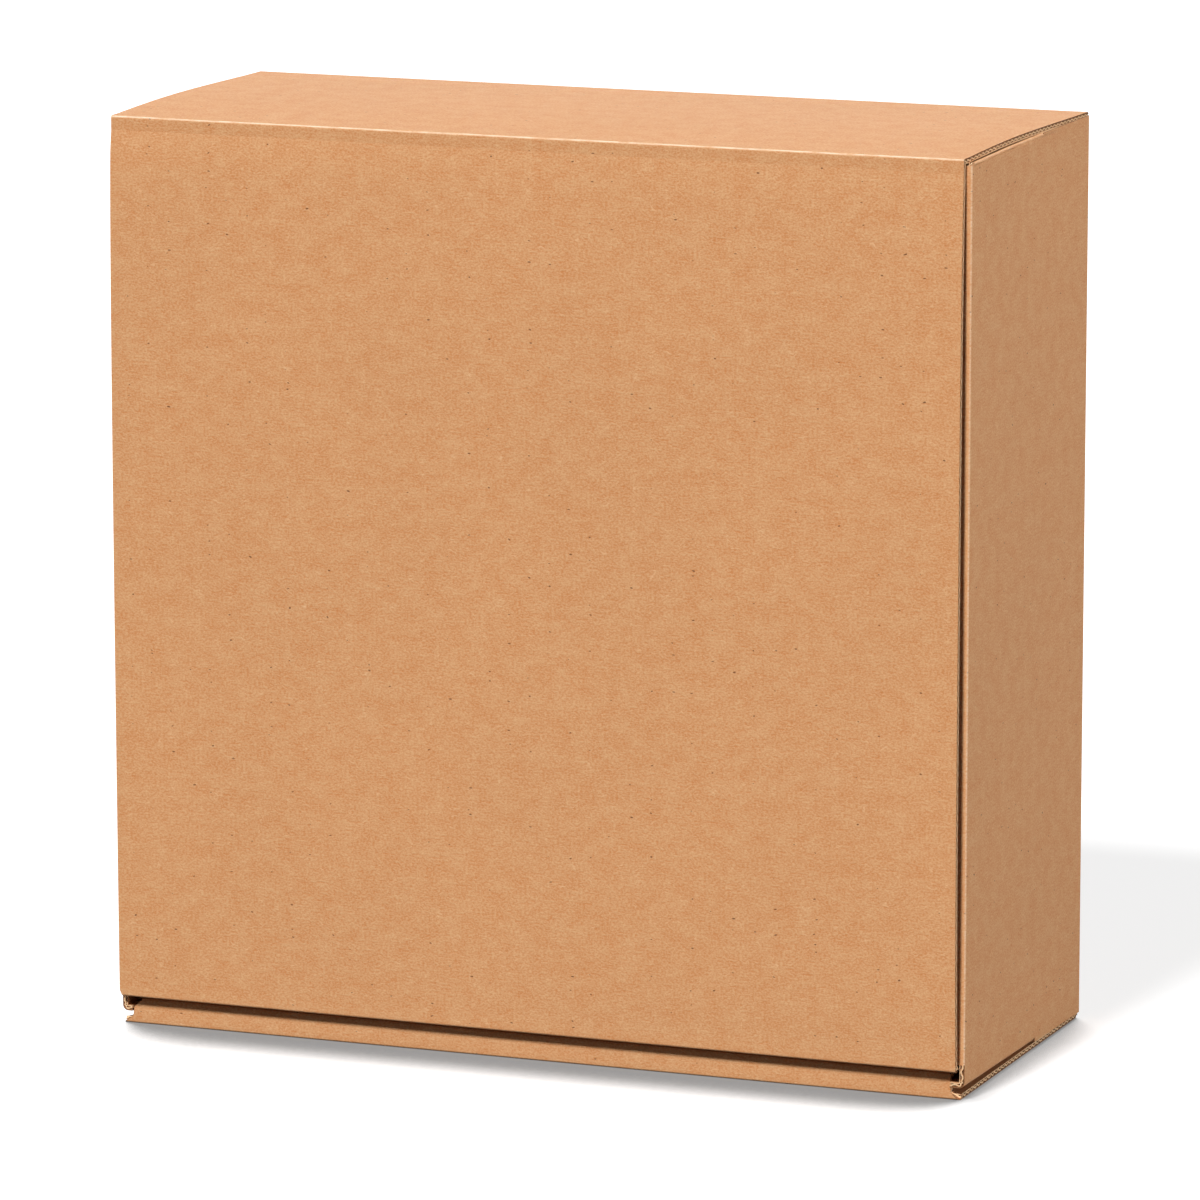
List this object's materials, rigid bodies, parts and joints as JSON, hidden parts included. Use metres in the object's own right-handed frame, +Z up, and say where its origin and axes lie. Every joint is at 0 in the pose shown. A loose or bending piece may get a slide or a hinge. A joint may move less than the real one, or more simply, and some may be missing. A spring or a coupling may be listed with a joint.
{
  "type": "cardboard mailer box",
  "caption": "Closed cardboard mailer box standing on its narrow rolled wall, with a large front lid that swings up on its top fold and tucks in at the bottom.",
  "frame": {"origin": "centre of the whole closed box's footprint, on the surface it stands on", "axes": "+X across the lid, +Y from the lid to the back panel, +Z up to the lid's fold line"},
  "size_m": [0.252, 0.107, 0.2608],
  "materials": {
    "kraft_board": "matte uncoated kraft liner"
  },
  "bodies": {
    "tray": {"tray": "kraft_board"},
    "lid": {"lid": "kraft_board"}
  },
  "joints": [
    {"name": "lid_hinge", "type": "hinge", "parent": "tray", "child": "lid", "pos_m": [0, -0.0515, 0.26], "axis": [-1, 0, 0], "range_deg": [0, 180]}
  ]
}
